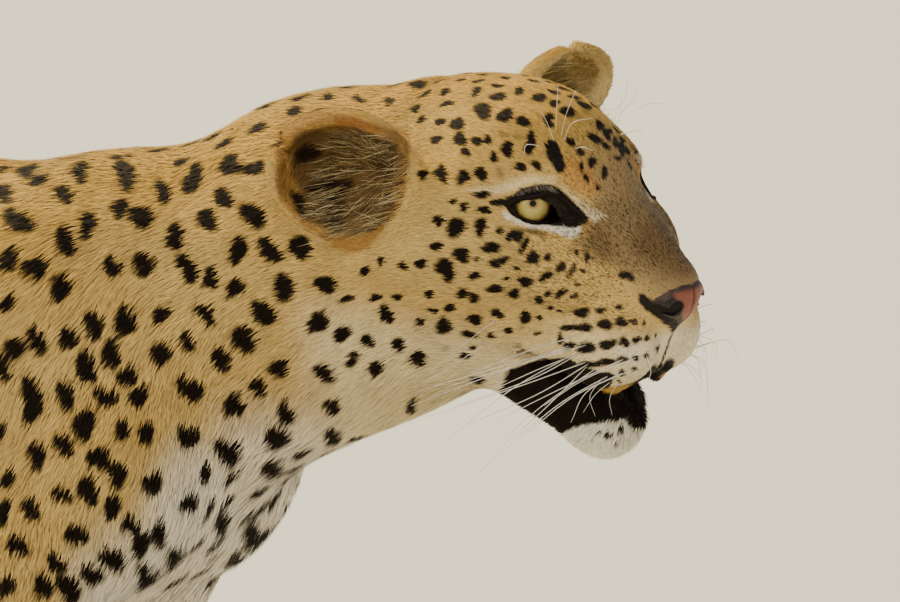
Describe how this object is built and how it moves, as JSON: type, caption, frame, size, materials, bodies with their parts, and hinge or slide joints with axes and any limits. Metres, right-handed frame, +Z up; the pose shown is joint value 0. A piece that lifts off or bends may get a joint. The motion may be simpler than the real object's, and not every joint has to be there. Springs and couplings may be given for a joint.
{
  "type": "leopard",
  "caption": "Life-size standing leopard with a spotted coat, its head turned to its right, mouth slightly open, ears to the side and tail curled up at the tip.",
  "frame": {"origin": "on the floor, under the middle of the leopard's box", "axes": "+X ahead, from the tail to the head; +Y to the leopard's left; +Z up"},
  "size_m": [1.6716, 0.3106, 0.7267],
  "materials": {
    "coat": "short dense fur, golden buff with near-black spots, white below",
    "nose_leather": "moist pink-brown nose leather with dark edges",
    "eye": "wet pale yellow-green eye with a round dark pupil"
  },
  "bodies": {
    "root": {"ear_left": "coat", "ear_right": "coat", "eye_left": "eye", "eye_right": "eye", "head": "coat", "jaw": "coat", "leg_fore_left_forearm": "coat", "leg_fore_left_paw": "coat", "leg_fore_left_shoulder": "coat", "leg_fore_right_forearm": "coat", "leg_fore_right_paw": "coat", "leg_fore_right_shoulder": "coat", "leg_hind_left_foot": "coat", "leg_hind_left_paw": "coat", "leg_hind_left_shank": "coat", "leg_hind_left_thigh": "coat", "leg_hind_right_foot": "coat", "leg_hind_right_paw": "coat", "leg_hind_right_shank": "coat", "leg_hind_right_thigh": "coat", "neck": "coat", "nose": "nose_leather", "tail_middle": "coat", "tail_root": "coat", "tail_tip": "coat", "torso": "coat"}
  },
  "joints": []
}
